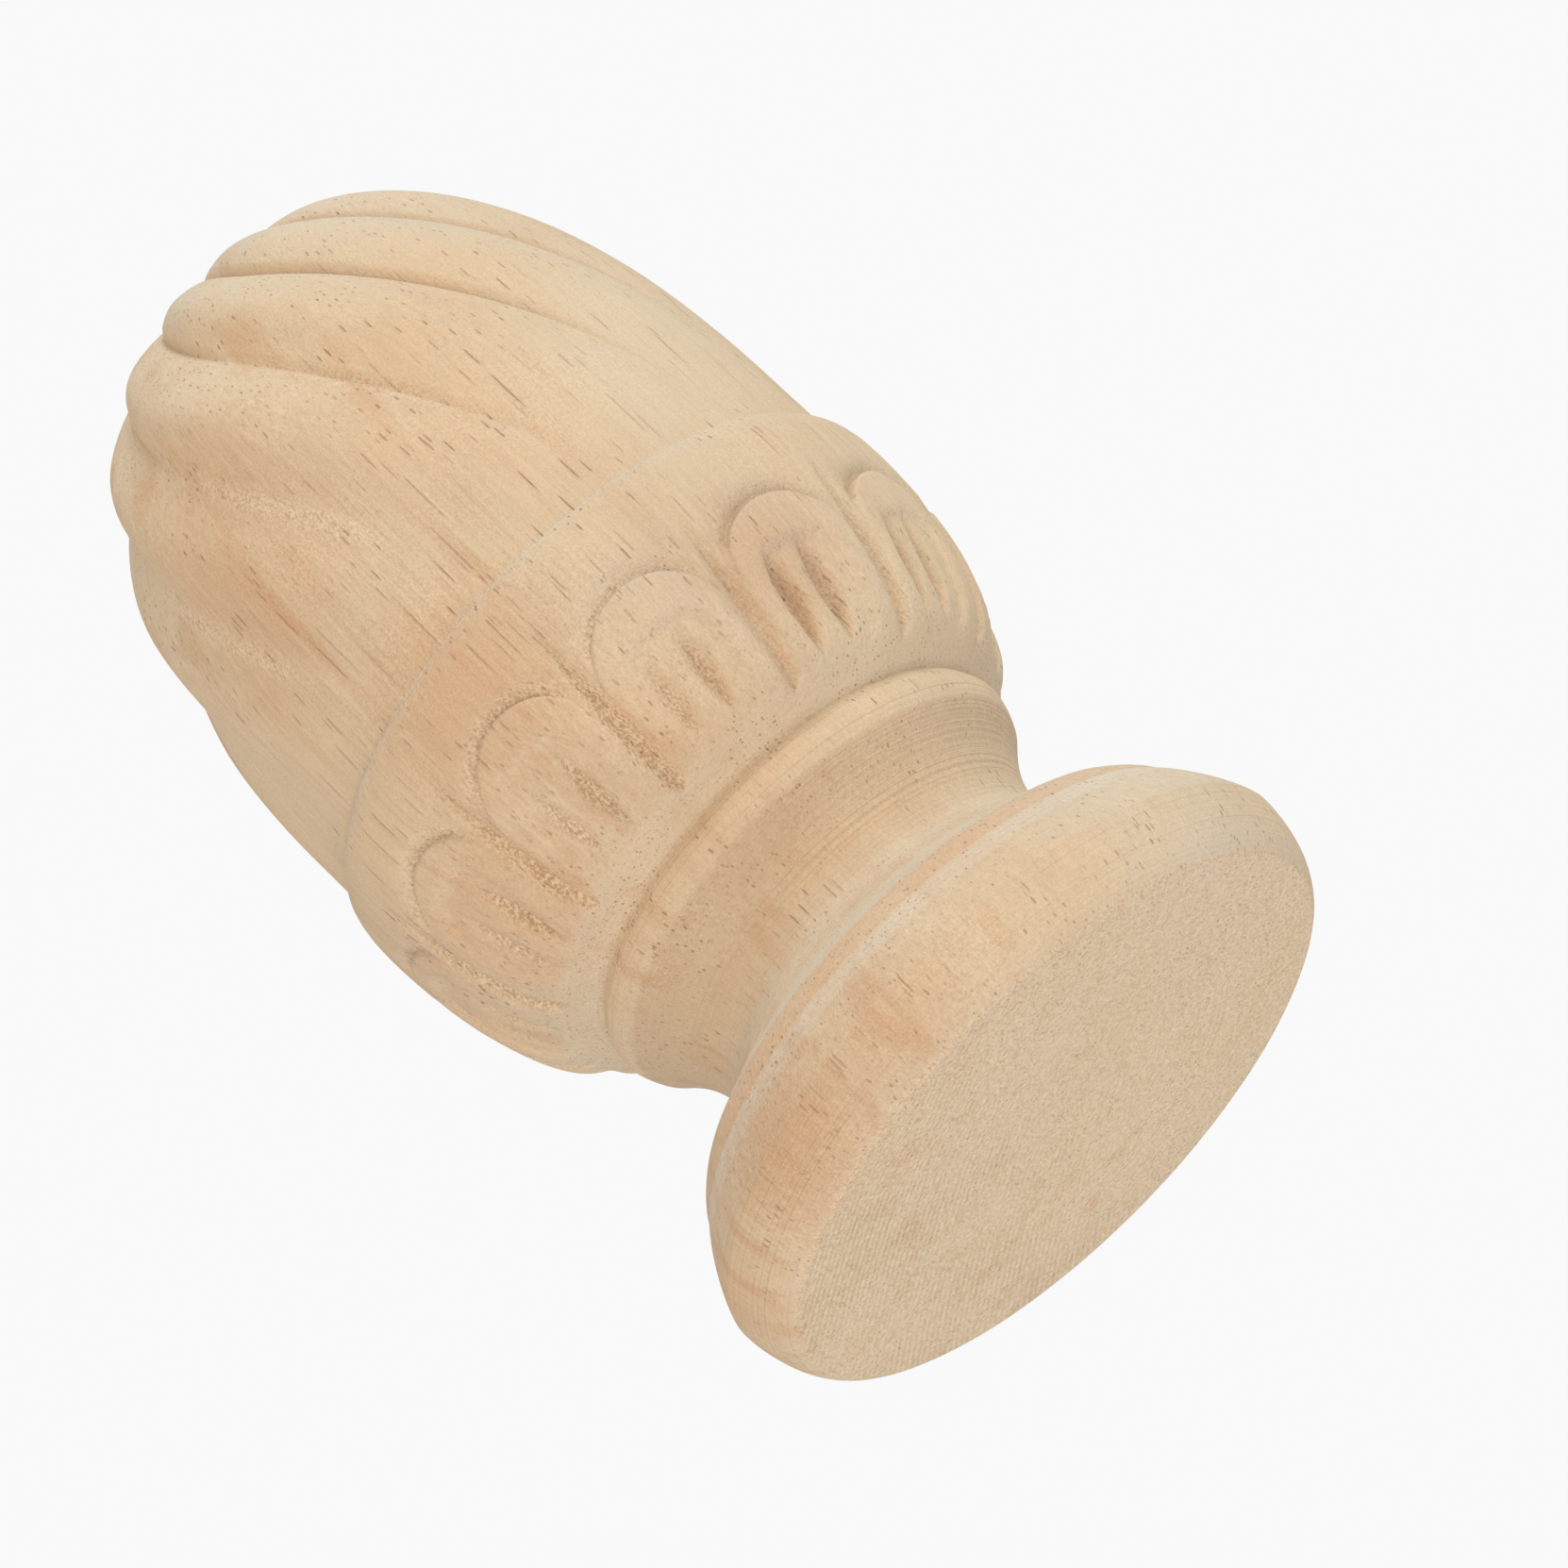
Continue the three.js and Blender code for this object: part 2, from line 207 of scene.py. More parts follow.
def carvedPoint(size, row, turn):
    # the surface at a ring number and a share of a full turn: its radius, angle and height, how torn
    # its grain is and how far it lies in a cut
    bench, ranges = row.bench, finialRanges
    along, startOf, firstRow = {}, {}, 0
    for name, count in finialRings.items():
        startOf[name] = firstRow
        along[name] = ramp(row, float(firstRow), float(firstRow + count))
        firstRow += count
    along["band"] = crowded(along["band"], finialMesh["edgeCrowding"])
    along["neckLow"] = crowded(along["neckLow"], finialMesh["edgeCrowding"])
    along["bud"] = crowded(along["bud"], finialMesh["tipCrowding"])

    footTopZ = size["footLowHeight"] + size["footTopHeight"]
    bandTopZ = footTopZ + size["bandHeight"]
    neckZ = bandTopZ + size["neckLowHeight"]
    collarZ = neckZ + size["neckTopHeight"]
    grooveZ = collarZ + size["collarHeight"]
    cupFootZ = grooveZ + size["cupFootHeight"]
    cupWidestZ = cupFootZ + size["cupLowHeight"]
    seamZ = cupWidestZ + size["cupEdgeHeight"]
    cupHeight = seamZ - grooveZ
    budHeight = size["overallHeight"] - seamZ
    pitch = 360 / size["leafCount"]
    halfPitch = pitch / 2

    # the plain turned part, each stretch added to the one before: the diameters at both ends, the
    # rise, and the shares of the step and of the rise that are done
    stretches = [
        (size["undersideDiameter"], size["footDiameter"], size["footLowHeight"],
         eased(along["footLow"], size["footLowRoundness"]),
         1 - eased(1 - along["footLow"], size["footLowRoundness"])),
        (size["footDiameter"], size["footTopDiameter"], size["footTopHeight"],
         1 - eased(1 - along["footTop"], size["footTopRoundness"]),
         eased(along["footTop"], size["footTopRoundness"])),
        (size["footTopDiameter"], size["bandTopDiameter"], size["bandHeight"],
         along["band"], along["band"]),
        (size["bandTopDiameter"], size["neckDiameter"], size["neckLowHeight"],
         1 - (1 - along["neckLow"]) ** size["neckLowSweep"], along["neckLow"]),
        (size["neckDiameter"], size["collarDiameter"], size["neckTopHeight"],
         along["neckTop"] ** size["neckTopSweep"], along["neckTop"]),
        (size["collarDiameter"], size["grooveDiameter"], size["collarHeight"],
         along["collar"], along["collar"]),
    ]
    radius = size["undersideDiameter"] / 2 * along["underside"]
    height = 0.0
    for lowDiameter, highDiameter, rise, radiusShare, heightShare in stretches:
        radius = radius + (highDiameter - lowDiameter) / 2 * radiusShare
        height = height + rise * heightShare
    radius = (radius + size["bandBulgeDepth"] * sine(along["band"])
              + size["collarBulgeDepth"] * sine(along["collar"]))

    # round the cup: the angle from the middle of a leaf, and the leaf's number for its own differences
    leafTurns = turn * size["leafCount"]
    leafNumber = leafTurns.maths("FLOOR")
    local = (leafTurns - leafNumber - 0.5) * pitch
    byHand = bench.node("ShaderNodeTexWhiteNoise", {"noise_dimensions": "1D"},
                        {"W": (leafNumber + finialMesh["leafSeed"]).maths("MODULO", size["leafCount"])})
    ownShare = 1 + (byHand - 0.5) * size["handSpread"]
    # the leaves' tops and veins are cut deeper on the right, and the hollows reach higher on the left
    cupSine = ((turn * 360 + size["firstLeafAngle"] - halfPitch) * math.radians(1)).maths("SINE")
    deepSide = smooth(cupSine, *ranges["deepSide"])
    leftSide = smooth(-cupSine, *ranges["leftSide"])

    shoulderZ = grooveZ + cupHeight * size["leafShoulderShare"]
    leafRise = (cupHeight * (size["leafTopShare"] - size["leafShoulderShare"])
                * (1 + (ownShare - 1) * size["riseSpreadShare"]))
    leafHalfAngle = halfPitch * size["leafWidthShare"]
    across = least(abs(local) / leafHalfAngle, 1.0)
    leafEdgeZ = shoulderZ + leafRise * root(1 - across * across)
    wallZ = leafEdgeZ - size["leafCutWallWidth"]
    slopeZ = leafEdgeZ + size["leafCutSlopeWidth"]
    cupZ = (grooveZ + size["cupFootHeight"] * along["cupFoot"] + (wallZ - cupFootZ) * along["leaf"]
            + size["leafCutWallWidth"] * along["leafWall"] + size["leafCutSlopeWidth"] * along["leafSlope"]
            + (seamZ - slopeZ) * sine(along["cupTop"] * 0.5))

    # the cup's plain radius at that height
    isFoot = cupZ < cupFootZ
    isLow = cupZ < cupWidestZ
    endRadius = mixed(size["cupTopDiameter"], size["cupFootDiameter"], isLow) / 2
    endHeight = mixed(size["cupEdgeHeight"], size["cupLowHeight"], isLow)
    away = least(abs(cupZ - cupWidestZ) / endHeight, 1.0)
    swelling = mixed(endRadius, size["cupDiameter"] / 2, root(1 - away * away))
    footRadius = mixed(size["grooveDiameter"], size["cupFootDiameter"],
                       (cupZ - grooveZ) / size["cupFootHeight"]) / 2
    cupRadius = mixed(swelling, footRadius, isFoot)

    def lens(low, top, widest):
        # 0 at both ends of a pointed cut and 1 where it is widest
        share = ramp(cupZ, grooveZ + cupHeight * low, grooveZ + cupHeight * top)
        power = math.log(0.5) / widest.maths("LOGARITHM", math.e)
        return sine(share ** power)

    def veeCut(depth, opening, angle, halfAngle):
        # a V with its edges and its bottom a little rounded
        return depth * smooth(opening - abs(angle) / halfAngle, *ranges["vee"])

    # the cut round the leaves' tops, by the distance from their rounded edge
    leafHalfWidth = leafHalfAngle * math.radians(1) * size["cupDiameter"] / 2
    acrossLeaf = local * math.radians(1) * size["cupDiameter"] / 2 / leafHalfWidth
    upLeaf = most(cupZ - shoulderZ, 0.0) / leafRise
    leafSize = hypot(acrossLeaf, upLeaf)
    steepness = most(hypot(acrossLeaf / leafHalfWidth, upLeaf / leafRise), finialMesh["smallest"])
    beyond = (leafSize - 1) * leafSize / steepness
    reach = mixed(size["leafCutWallWidth"], size["leafCutSlopeWidth"], beyond > 0.0)
    leafCut = (smooth(cupZ, shoulderZ, shoulderZ + leafRise * size["leafCutFadeShare"])
               * size["leafCutDepth"] * mixed(size["leftCutShare"], 1.0, deepSide)
               * most(1 - abs(beyond) / reach, 0.0))

    # the grooves between the leaves, and each leaf's hollow with its two veins
    partingEnd = smooth(cupZ, cupFootZ, cupFootZ + size["partingEndHeight"])
    parting = veeCut(size["partingDepth"] * partingEnd,
                     lens(size["partingLowShare"], size["partingTopShare"], size["partingWidestShare"]),
                     halfPitch - abs(local), halfPitch * size["partingWidthShare"])
    hollowLow = grooveZ + cupHeight * size["hollowLowShare"]
    hollowTop = grooveZ + cupHeight * (leftSide * size["leftHollowRise"] + size["hollowTopShare"])
    hollowUp = (cupZ * 2 - hollowLow - hollowTop) / (hollowTop - hollowLow)
    hollowAcross = local / (halfPitch * size["hollowWidthShare"])
    hollow = (most(deepSide, leftSide) * size["hollowSideShare"] + 1) * size["hollowDepth"] * smooth(
        1 - hypot(hollowAcross * hollowAcross, hollowUp * hollowUp), 0.0, size["hollowEdgeShare"])
    leafSine = ((leafNumber * pitch + size["firstLeafAngle"]) * math.radians(1)).maths("SINE")
    veinLocal = local + size["veinShiftAngle"] + size["veinDriftAngle"] * leafSine
    leftVein = mixed(size["leftVeinShare"], 1.0, deepSide)
    vein = veeCut(ownShare * size["veinDepth"] * mixed(1.0, size["deepVeinShare"], deepSide)
                  * mixed(leftVein, 1.0, veinLocal > 0.0),
                  lens(size["veinLowShare"], deepSide * size["deepVeinRise"] + size["veinTopShare"],
                       size["veinWidestShare"]),
                  abs(veinLocal) - halfPitch * size["veinPlaceShare"],
                  halfPitch * size["veinWidthShare"] * mixed(1.0, size["deepVeinWidening"], deepSide))
    cupCarving = most(most(parting, leafCut), hollow + vein)

    # the bud: its columns turn with the valleys between the lobes
    budRadius = size["budDiameter"] / 2 * eased(1 - along["bud"], size["budRoundness"])
    budZ = seamZ + budHeight * eased(along["bud"], size["budRoundness"])
    up = budZ - seamZ
    upShare = up / budHeight
    valleyAngle = (size["firstValleyAngle"] - size["valleyLeanAngle"] * upShare
                   - size["valleyCurlAngle"] * upShare * upShare - pitch)
    plainAngle = size["firstLeafAngle"] - halfPitch
    lobePart = leafTurns - leafNumber
    lobeCrowded = crowded(lobePart, finialMesh["valleyCrowding"])
    lobeShare = abs(lobeCrowded * 2 - 1)
    valleyNumber = (leafTurns + 0.5).maths("FLOOR")
    valleyHand = bench.node(
        "ShaderNodeTexWhiteNoise", {"noise_dimensions": "1D"},
        {"W": valleyNumber.maths("MODULO", size["leafCount"]) + finialMesh["valleySeed"]})
    valleyOwn = 1 + (valleyHand - 0.5) * size["handSpread"]
    lobeDepth = mixed(size["lobeLowDepth"], size["lobeTopDepth"], upShare ** size["lobeGrowth"])
    lobeFade = smooth(up, 0.0, size["lobeFadeHeight"])

    # the creases in the valleys: steep on their left, faint on the bud's left and sharp elsewhere
    fromValley = (1 - lobeShare) * halfPitch * math.radians(1) * budRadius
    valleySine = ((valleyNumber * pitch + valleyAngle) * math.radians(1)).maths("SINE")
    sharp = most(smooth(valleySine, *ranges["sharpSide"]),
                 smooth(up, *ranges["sharpTip"]) * size["sharpTipShare"])
    creaseWidth = mixed(size["creaseRightWidth"], size["creaseLeftWidth"], lobePart > 0.5)
    creaseGrowth = ramp(up, size["lobeFadeHeight"], size["creaseFadeHeight"])
    crease = (least(size["creaseDepth"] * sharp * creaseGrowth, budRadius * size["lobeTipSteepness"] / 2)
              * most(1 - fromValley / creaseWidth, 0.0))
    sharpValley = lobeShare ** size["lobeRoundness"]
    softValley = eased(lobeShare, size["softValleyRoundness"])
    lobeCarving = crease + (lobeFade * least(lobeDepth * valleyOwn, budRadius * size["lobeTipSteepness"])
                            * mixed(softValley, sharpValley, sharp))

    inCup = row > startOf["cupFoot"] - 0.5
    inBud = row > startOf["bud"] - 0.5
    radius = mixed(mixed(radius, cupRadius - cupCarving, inCup), budRadius - lobeCarving, inBud)
    height = mixed(mixed(height, cupZ, inCup), budZ, inBud)
    lobed = inBud * lobeFade
    cupPlace = (cupZ - grooveZ) / cupHeight
    lean = (size["leafLeanAngle"] * (cupPlace - size["leanMiddleShare"])
            * (1 - smooth(cupPlace, *ranges["leanEnd"])) * inCup * (1 - inBud))
    angle = (turn * 360 + mixed(plainAngle, valleyAngle, lobed)
             + (lobeCrowded - lobePart) * pitch * lobed + lean)

    # torn: where the cutter lifted the grain
    cupTorn = most(ramp(parting, *ranges["partingTorn"]),
                   most(ramp(vein, *ranges["veinTorn"]),
                        ramp(leafCut, *ranges["leafCutTorn"]) * size["leafCutTornShare"]))
    budTorn = (smooth(lobeShare, *ranges["valleyTorn"]) * ramp(up, *ranges["tornStart"])
               * (1 - ramp(up, *ranges["tornEnd"])) * size["valleyTornShare"])
    torn = mixed(inCup * cupTorn, budTorn, inBud)
    # cut: how far a place lies in a cut, where the material darkens it, partly for bared end grain and partly
    # as painted shade in the cuts and creases
    archCut = (ramp(leafCut, *ranges["archCut"])
               * (1 - smooth(local / halfPitch, *ranges["archSide"]) * size["archSideShare"]))
    cupCut = most(archCut, most(ramp(vein, *ranges["veinCut"]),
                                ramp(parting, *ranges["partingCut"]) * size["partingCutShare"]))
    budCut = (most(1 - fromValley / (creaseWidth * size["creaseCutWidthShare"]), 0.0)
              * ramp(up, *ranges["creaseCut"]) * sharp * size["creaseCutShare"])
    cut = mixed(inCup * cupCut, budCut, inBud)
    return radius, angle, height, torn, cut


def finialTree(material):
    tree = bpy.data.node_groups.new("finialShape", "GeometryNodeTree")
    bench = Bench(tree)
    tree.interface.new_socket(name="Geometry", in_out="OUTPUT", socket_type="NodeSocketGeometry")
    for name, value in finial.items():
        socket = tree.interface.new_socket(name=name, in_out="INPUT", socket_type="NodeSocketFloat")
        socket.default_value = value
    entry = tree.nodes.new("NodeGroupInput")
    size = {name: Wire(bench, entry.outputs[name]) for name in finial}

    # a flat grid, whose columns go round the finial and whose rows are its rings
    columns = int(finial["leafCount"]) * finialMesh["columnsPerLeaf"]
    rings = sum(finialRings.values())
    grid = bench.node("GeometryNodeMeshGrid", None,
                      {"Size X": 1.0, "Size Y": 1.0, "Vertices X": columns + 1, "Vertices Y": rings + 1})
    split = bench.node("ShaderNodeSeparateXYZ", None, {0: bench.node("GeometryNodeInputPosition")})
    turn = split + 0.5
    row = ((split.other(1) + 0.5) * float(rings)).maths("ROUND")
    radius, angle, height, torn, cut = carvedPoint(size, row, turn)

    def around(distance):
        turned = angle * math.radians(1)
        return distance * turned.maths("SINE"), -distance * turned.maths("COSINE")

    # the small unevenness of work done by hand, always inwards
    plainX, plainY = around(radius)
    plain = bench.node("ShaderNodeCombineXYZ", None, {0: plainX, 1: plainY, 2: height})
    uneven = bench.node("ShaderNodeTexNoise", {"noise_dimensions": "3D"},
                        {"Vector": plain, "Scale": 1 / size["wobbleLength"],
                         "Detail": finialMesh["wobbleDetail"], "Roughness": finialMesh["wobbleRoughness"]})
    radius = radius - size["handWobble"] * uneven * smooth(radius, *finialRanges["wobble"])
    finalX, finalY = around(radius)
    final = bench.node("ShaderNodeCombineXYZ", None,
                       {0: finalX * millimetre, 1: finalY * millimetre, 2: height * millimetre})

    def kept(shape, name, value):
        # writes a value on the points for the material to read
        return bench.node("GeometryNodeStoreNamedAttribute", {"data_type": "FLOAT", "domain": "POINT"},
                          {"Geometry": shape, "Name": name, "Value": value})

    shape = kept(kept(grid, "torn", torn), "cut", cut)
    shape = bench.node("GeometryNodeSetPosition", None, {"Geometry": shape, "Position": final})
    facing = bench.node("ShaderNodeSeparateXYZ", None, {0: bench.node("GeometryNodeInputNormal")}, "Z")
    # how squarely each face looks up and down, for the material's greyer tint: end grain, and painted cool
    # light from above
    shape = kept(shape, "upDownFacing", abs(facing))
    shape = bench.node("GeometryNodeMergeByDistance", None,
                       {"Geometry": shape, "Distance": finialMesh["mergeDistance"]})
    shape = bench.node("GeometryNodeSetShadeSmooth", None, {"Geometry": shape})
    shape = bench.node("GeometryNodeRealizeInstances", None, {"Geometry": shape})
    shape = bench.node("GeometryNodeSetMaterial", None, {"Geometry": shape, "Material": material})
    bench.node("NodeGroupOutput", None, {"Geometry": shape})
    return tree


def plainMesh(name, tree, sizes):
    # runs a tree on an empty mesh and keeps what it makes as an ordinary mesh
    piece = bpy.data.objects.new(name, bpy.data.meshes.new(name + "Start"))
    scene.collection.objects.link(piece)
    modifier = piece.modifiers.new("shape", "NODES")
    modifier.node_group = tree
    for item in tree.interface.items_tree:
        if item.item_type == "SOCKET" and item.in_out == "INPUT" and item.name in sizes:
            modifier[item.identifier] = sizes[item.name]
    graph = bpy.context.evaluated_depsgraph_get()
    mesh = bpy.data.meshes.new_from_object(piece.evaluated_get(graph), preserve_all_data_layers=True,
                                           depsgraph=graph)
    piece.modifiers.remove(modifier)
    mesh.name = name
    piece.data = mesh
    return piece


# How the wood looks. Lengths are in millimetres.
wood = {
    "pale": linear(226, 199, 163), "warm": linear(221, 180, 138), "orange": linear(208, 152, 108),
    # on the next line, the palest colour stands for painted light
    "grey": linear(206, 187, 162), "litPale": linear(232, 216, 190), "vessel": linear(162, 90, 54),
    # on the next line, the brown of bared grain also paints shade in the cuts, and the end tint is partly
    # painted cool light from above
    "fibre": linear(250, 230, 196), "baredGrainAndShade": linear(160, 116, 78), "endGrainAndTopLightTint": (0.98, 1.075, 1.2, 1.0),
    "roughness": 0.72, "tornRoughness": 0.15, "specular": 0.3, "bumpDepth": 0.00034,
    "ringSpacing": 11.0, "ringWander": 5.0, "heart": (-70.0, -95.0, 0.0), "heartStretch": (1.0, 1.0, 0.04),
    "grainShift": (0.0, 0.0, 137.3), "streakDark": 0.86, "streakLight": 1.14,
    "greyShare": 0.6, "greyUnderShare": 0.2, "warmUnderShare": 0.35,
    "latheStep": 0.42, "latheNoise": (2.0, 0.5), "sawStep": 0.85, "sawCentre": (160.0, 120.0, 0.0),
    # vessels in two layers: width, length, shift of the pattern, share of its width that is dark;
    # then which of them show, and how strongly
    "vessels": [(0.48, 22.0, (0.0, 0.0, 0.0), 0.27), (0.672, 15.4, (3.1, 5.27, 1.86), 0.2)],
    "vesselRange": (0.57, 0.87), "vesselStainAndShadeShare": 0.6, "vesselShare": 0.5, "vesselLeast": 0.4,
    "cutShare": 0.34, "underRoughShare": 0.6, "speckleShare": 0.14, "speckleTornShare": 0.2,
    # stretches of height painted paler, warmer or darker, most of them painted light and shade on the turned
    # profile: heights between which the tint comes in and goes out, colour, share
    "lightAndShadeBelts": [
        # painted light on the foot's top, which faces up
        (12.6, 13.9, 15.7, 16.1, linear(234, 224, 206), 0.2),
        # painted shade on the band's steep outward face, warmer and darker than the up-facing strips round it
        (15.7, 16.1, 18.6, 19.1, linear(219, 168, 126), 0.38),
        # painted light on the flare, which faces up
        (18.6, 19.1, 20.8, 24.0, linear(226, 211, 186), 0.45),
        (23.5, 26.0, 28.0, 30.5, linear(226, 211, 186), 0.3),
        # painted shade under the collar, darkest just below its edge
        (27.0, 37.2, 37.3, 38.1, linear(194, 152, 114), 0.26),
        # painted light on the collar's bead
        (37.6, 38.4, 41.8, 42.6, linear(240, 216, 180), 0.14),
        # painted light on the groove and the belt above it, against the shade that falls there
        (42.3, 42.8, 44.4, 45.6, linear(244, 220, 186), 0.34),
        # painted highlight on the seam's edge
        (73.9, 74.2, 74.4, 74.7, linear(244, 226, 196), 0.35),
    ],
    # places painted redder, partly the wood's own stain and partly painted shade on the left, away from the
    # key light: middle, reach, share
    "stainsAndShade": [
        ((-21.0, -33.0, 7.0), 16.0, 0.5), ((-6.0, -39.0, 6.0), 15.0, 0.25),
        ((-12.0, -35.0, 69.0), 20.0, 0.4), ((-16.0, -28.0, 100.0), 24.0, 0.3),
        ((-24.0, -26.0, 50.0), 18.0, 0.3), ((0.0, -29.0, 47.0), 20.0, 0.2),
        ((22.0, -31.0, 56.0), 12.0, 0.3), ((5.0, -34.0, 98.0), 27.0, 0.13),
    ],
    # and places painted paler, as painted light on the right, where the key light falls
    "paintedLightPlaces": [
        ((20.0, -13.0, 126.0), 28.0, 0.4), ((31.0, -24.0, 12.0), 18.0, 0.25),
        ((28.0, -22.0, 88.0), 20.0, 0.2), ((37.0, -16.0, 98.0), 26.0, 0.34),
    ],
    # how such a place fades towards its reach, and how far the streaks fray its edge
    "placeRange": (0.25, 1.0), "placeFray": 0.9,
}
# noise drawn out along the grain: width, length, detail, roughness
woodNoise = {
    "wander": (22.0, 90.0, 2.0, 0.5), "patches": (26.0, 46.8, 3.0, 0.55), "streaks": (0.55, 14.0, 3.0, 0.6),
    "figure": (4.5, 60.0, 2.0, 0.5), "greyPlaces": (34.0, 60.0, 2.0, 0.5), "banks": (7.0, 40.0, 1.0, 0.5),
    "speckle": (0.23, 0.345, 2.0, 0.6), "sand": (0.5, 0.5, 3.0, 0.75), "fuzz": (14.0, 20.0, 2.0, 0.5),
    "tornGrain": (0.34, 0.442, 2.0, 0.6),
}
# how a layer comes in with the value that drives it: none at, all from, and its share
woodLayers = {
    "warmPatches": (0.4, 0.85, 0.6), "lateWood": (0.1, 0.95, 1.0), "lateEnd": (0.95, 1.0, 1.0),
    "latePatches": (0.5, 0.8, 0.25), "aboveUnderside": (0.2, 0.6, 1.0),
    "figure": (0.54, 0.7, 0.48), "figureSide": (-10.0, 20.0, 0.7), "greyPlaces": (0.52, 0.75, 1.0),
    "upDownFacing": (0.15, 0.95, 1.0), "banks": (0.38, 0.62, 0.6), "fuzz": (0.44, 0.72, 0.35),
    "cleanSide": (-2.0, 16.0, 0.7), "paleSpeckle": (0.48, 0.6, 1.0), "darkSpeckle": (0.46, 0.36, 1.0),
    "paleTorn": (0.48, 0.58, 0.65), "darkTorn": (0.44, 0.36, 0.18),
    "latheEnd": (42.0, 46.0, 1.0), "sawEnd": (-14.0, 6.0, 1.0), "sawPatches": (0.35, 0.6, 0.2),
}
woodRelief = {"speckle": 0.28, "tornGrain": 0.65, "vessels": 0.4, "streaks": 0.25, "lathe": 0.8}


def woodMaterial():
    material = bpy.data.materials.new("paleCarvedWood")
    bench = emptied(material)

    def vectorMaths(operation, *values, out=0):
        return bench.node("ShaderNodeVectorMath", {"operation": operation}, dict(enumerate(values)), out)

    def length(vector):
        return vectorMaths("LENGTH", vector, out=1)

    def attribute(name):
        return bench.node("ShaderNodeAttribute", {"attribute_name": name}, None, "Fac")

    def blended(share, first, second):
        return bench.node("ShaderNodeMix", {"data_type": "RGBA"}, {0: share, 6: first, 7: second}, 2)

    def layer(name, value):
        low, high, share = woodLayers[name]
        return ramp(value, low, high) * share

    place = vectorMaths("MULTIPLY", bench.node("ShaderNodeTexCoord", out="Object"), (1 / millimetre,) * 3)
    x = bench.node("ShaderNodeSeparateXYZ", None, {0: place})
    z = x.other(2)
    torn, cut, upDownFacing = attribute("torn"), attribute("cut"), attribute("upDownFacing")
    under = 1 - layer("aboveUnderside", z)

    # noise is flat where a coordinate is nought, as on the underside, so it is read further up
    grainPlace = vectorMaths("ADD", place, wood["grainShift"])

    def stretched(wide, long):
        return vectorMaths("MULTIPLY", grainPlace, (1 / wide, 1 / wide, 1 / long))

    def noise(vector, detail, roughness):
        return bench.node("ShaderNodeTexNoise", {"noise_dimensions": "3D"},
                          {"Vector": vector, "Scale": 1.0, "Detail": detail, "Roughness": roughness})

    def grain(name):
        wide, long, detail, roughness = woodNoise[name]
        return noise(stretched(wide, long), detail, roughness)

    # growth rings, far off centre, as the block was sawn from the side of a trunk
    fromHeart = vectorMaths("MULTIPLY", vectorMaths("SUBTRACT", place, wood["heart"]), wood["heartStretch"])
    distance = length(fromHeart) + grain("wander") * wood["ringWander"] * 2
    ringTurns = distance / wood["ringSpacing"]
    ringPart = ringTurns - ringTurns.maths("FLOOR")
    late = layer("lateWood", ringPart) * (1 - layer("lateEnd", ringPart))

    patches, streaks = grain("patches"), grain("streaks")
    colour = blended(layer("warmPatches", patches), wood["pale"], wood["warm"])
    colour = blended(late * layer("latePatches", patches), colour, wood["orange"])
    colour = blended(layer("figure", grain("figure")) * (1 - layer("figureSide", x)), colour, wood["orange"])
    greyShare = mixed(wood["greyShare"], wood["greyUnderShare"], under)
    colour = blended(layer("greyPlaces", grain("greyPlaces")) * greyShare, colour, wood["grey"])

    def spread(places):
        covered = z * 0.0
        for middle, reach, share in places:
            away = length(vectorMaths("SUBTRACT", place, middle)) / reach
            frayed = away + (streaks - 0.5) * wood["placeFray"]
            covered = most(covered, (1 - smooth(frayed, *wood["placeRange"])) * share)
        return covered

    # redder places: stains, and painted shade on the side away from the key light
    stainedAndShaded = spread(wood["stainsAndShade"])
    colour = blended(stainedAndShaded, colour, wood["orange"])
    # painted light on the right side, toward the key light
    colour = blended(spread(wood["paintedLightPlaces"]), colour, wood["litPale"])
    colour = blended(under * wood["warmUnderShare"], colour, wood["warm"])
    # the belts of painted light and shade
    for low, lowFull, highFull, high, tint, share in wood["lightAndShadeBelts"]:
        inside = least(smooth(z, low, lowFull), 1 - smooth(z, highFull, high))
        colour = blended(inside * share, colour, tint)
    colour = bench.node("ShaderNodeVectorMath", {"operation": "SCALE"},
                        {0: colour, "Scale": mixed(wood["streakDark"], wood["streakLight"], streaks)})

    # faces that look up and down are tinted greyer: partly the fibres' ends being greyer than their sides,
    # partly painted cool light on the faces that look up
    grey = blended(layer("upDownFacing", upDownFacing), (1.0, 1.0, 1.0, 1.0), wood["endGrainAndTopLightTint"])
    colour = vectorMaths("MULTIPLY", colour, grey)

    # vessels: short brown dashes along the grain, which are dots on the end grain
    def vesselLayer(wide, long, shift, limit):
        moved = vectorMaths("ADD", stretched(wide, long), shift)
        cells = bench.node("ShaderNodeTexVoronoi", {"voronoi_dimensions": "3D", "feature": "F1"},
                           {"Vector": moved, "Scale": 1.0})
        own = bench.node("ShaderNodeSeparateColor", None, {0: cells.other("Color")})
        low, high = wood["vesselRange"]
        chosen = ramp(own, low - stainedAndShaded * wood["vesselStainAndShadeShare"], high)
        return (1 - smooth(cells, limit / 2, limit)) * chosen

    vessels = most(*[vesselLayer(*sizes) for sizes in wood["vessels"]])
    vessels = vessels * (wood["vesselLeast"] + layer("banks", grain("banks")))
    colour = blended(vessels * wood["vesselShare"], colour, wood["vessel"])
    # darker in the cuts and creases: bared end grain, and painted shade
    colour = blended(cut * wood["cutShare"], colour, wood["baredGrainAndShade"])

